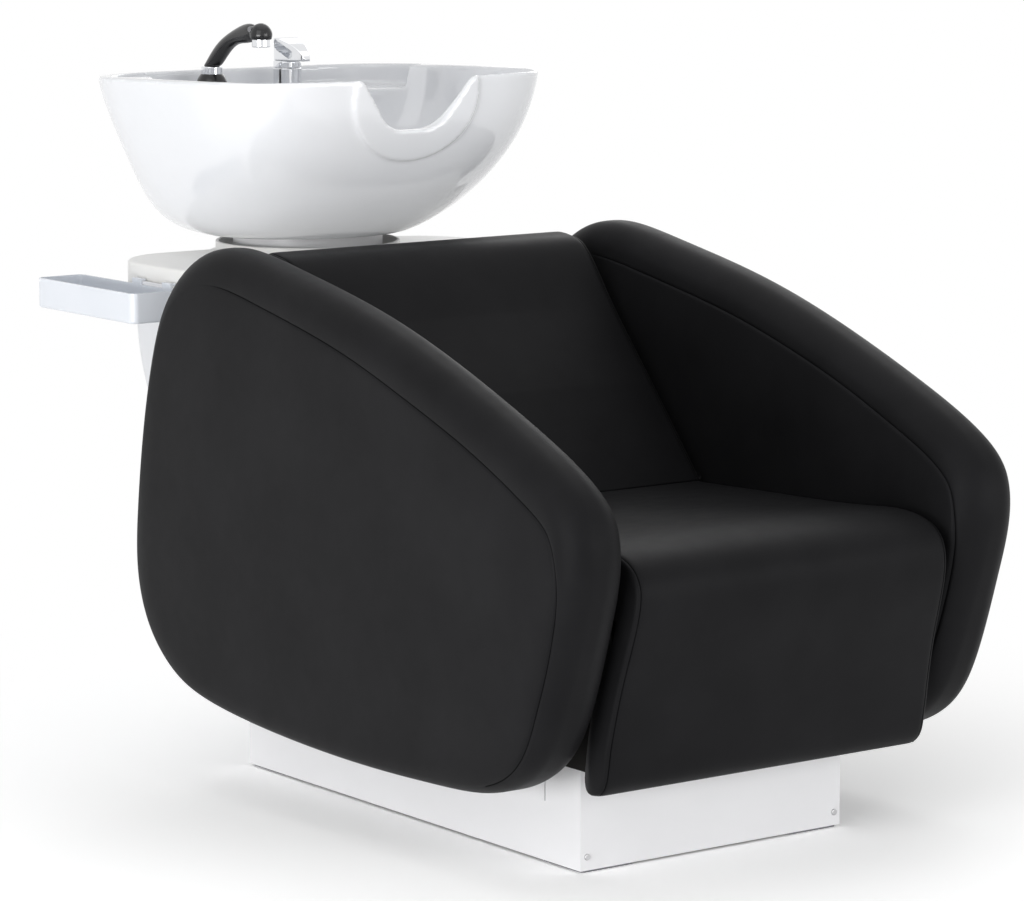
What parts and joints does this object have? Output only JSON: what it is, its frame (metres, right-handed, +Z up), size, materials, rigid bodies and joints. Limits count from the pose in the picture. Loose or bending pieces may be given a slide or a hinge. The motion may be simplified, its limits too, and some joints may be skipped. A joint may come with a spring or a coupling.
{
  "type": "hair washing bed",
  "caption": "Salon backwash unit: padded reclined seat with closed padded arms on a steel plinth, and a tilting ceramic neck basin with mixer tap and hand shower behind it.",
  "frame": {"origin": "centre of the four floor anchor holes, at floor level, which is the middle of the plinth's footprint", "axes": "+Z up; the sitter faces -Y and the basin is behind the sitter at +Y; +X towards the sitter's left arm"},
  "size_m": [0.7945, 1.4269, 1.0975],
  "materials": {
    "leatherette": "satin",
    "ceramic": "glossy",
    "deck_plastic": "glossy",
    "console_plastic": "satin",
    "tray_plastic": "glossy",
    "white_plastic": "satin",
    "black_plastic": "glossy",
    "grey_plastic": "satin",
    "chrome": "polished",
    "white_steel": "satin",
    "grey_steel": "satin",
    "stainless": "brushed",
    "plywood": "matte",
    "hose_rubber": "matte"
  },
  "bodies": {
    "base": {"arm_board_left": "plywood", "arm_board_right": "plywood", "arm_bolts": "stainless", "arm_pad_left": "leatherette", "arm_pad_right": "leatherette", "arm_spacers": "stainless", "back_board": "plywood", "back_pad": "leatherette", "base_cross_tubes": "grey_steel", "base_posts": "grey_steel", "base_rails": "grey_steel", "bottle_trap": "white_plastic", "bracket_bolts": "stainless", "carcass_sides": "plywood", "collar": "deck_plastic", "console_front_shell": "console_plastic", "console_rear_shell": "console_plastic", "console_screws": "stainless", "deck": "deck_plastic", "floor_plates": "grey_steel", "front_board": "plywood", "mast_foot": "grey_steel", "mast_gussets": "grey_steel", "mast_head": "grey_steel", "mast_uprights": "grey_steel", "plinth_front_panel": "white_steel", "plinth_rear_panel": "white_steel", "plinth_screws": "stainless", "plinth_side_panels": "white_steel", "rear_board": "plywood", "seat_board": "plywood", "seat_pad": "leatherette", "supply_nipples": "stainless", "supply_pipe_left": "hose_rubber", "supply_pipe_right": "hose_rubber", "tilt_bracket": "grey_steel", "tilt_pins": "stainless", "tilt_washers": "stainless", "tray_rail": "white_steel", "waste_cup": "white_plastic", "waste_pipe": "white_plastic"},
    "basin": {"basin": "ceramic", "basin_foot": "white_steel", "foot_screws": "stainless", "waste_flange": "chrome", "waste_tail": "white_plastic", "mixer_body": "chrome", "handset_holder": "black_plastic", "holder_ring": "chrome", "tap_nuts": "stainless", "shower_hose": "hose_rubber", "mixer_tail_left": "hose_rubber", "mixer_tail_right": "hose_rubber"},
    "mixer_stem": {"mixer_stem": "chrome"},
    "mixer_lever": {"mixer_lever": "chrome"},
    "handset": {"handset": "black_plastic", "handset_rose": "chrome"},
    "handset_button": {"handset_button": "grey_plastic"},
    "strainer": {"strainer": "stainless"},
    "tray": {"tray": "tray_plastic"}
  },
  "joints": [
    {"name": "basin_tilt", "type": "hinge", "parent": "base", "child": "basin", "pos_m": [0, 0.588, 0.742], "axis": [1, 0, 0], "range_deg": [-4, 4]},
    {"name": "mixer_swivel", "type": "hinge", "parent": "basin", "child": "mixer_stem", "pos_m": [0.07, 0.74799, 1], "axis": [0, 0, 1], "range_deg": [-45, 45]},
    {"name": "mixer_lift", "type": "hinge", "parent": "mixer_stem", "child": "mixer_lever", "pos_m": [0.07, 0.75799, 1.036], "axis": [-1, 0, 0], "range_deg": [0, 25]},
    {"name": "handset_lift", "type": "slide", "parent": "basin", "child": "handset", "axis": [0, 0, 1], "range_m": [0, 0.12]},
    {"name": "button_press", "type": "slide", "parent": "handset", "child": "handset_button", "axis": [1, 0, 0], "range_m": [0, 0.0015], "stiffness_N_per_m": 400, "springref_m": -0.001},
    {"name": "strainer_lift", "type": "slide", "parent": "basin", "child": "strainer", "axis": [0, 0, 1], "range_m": [0, 0.1]},
    {"name": "tray_lift", "type": "slide", "parent": "base", "child": "tray", "axis": [0, 0, 1], "range_m": [0, 0.06]}
  ]
}
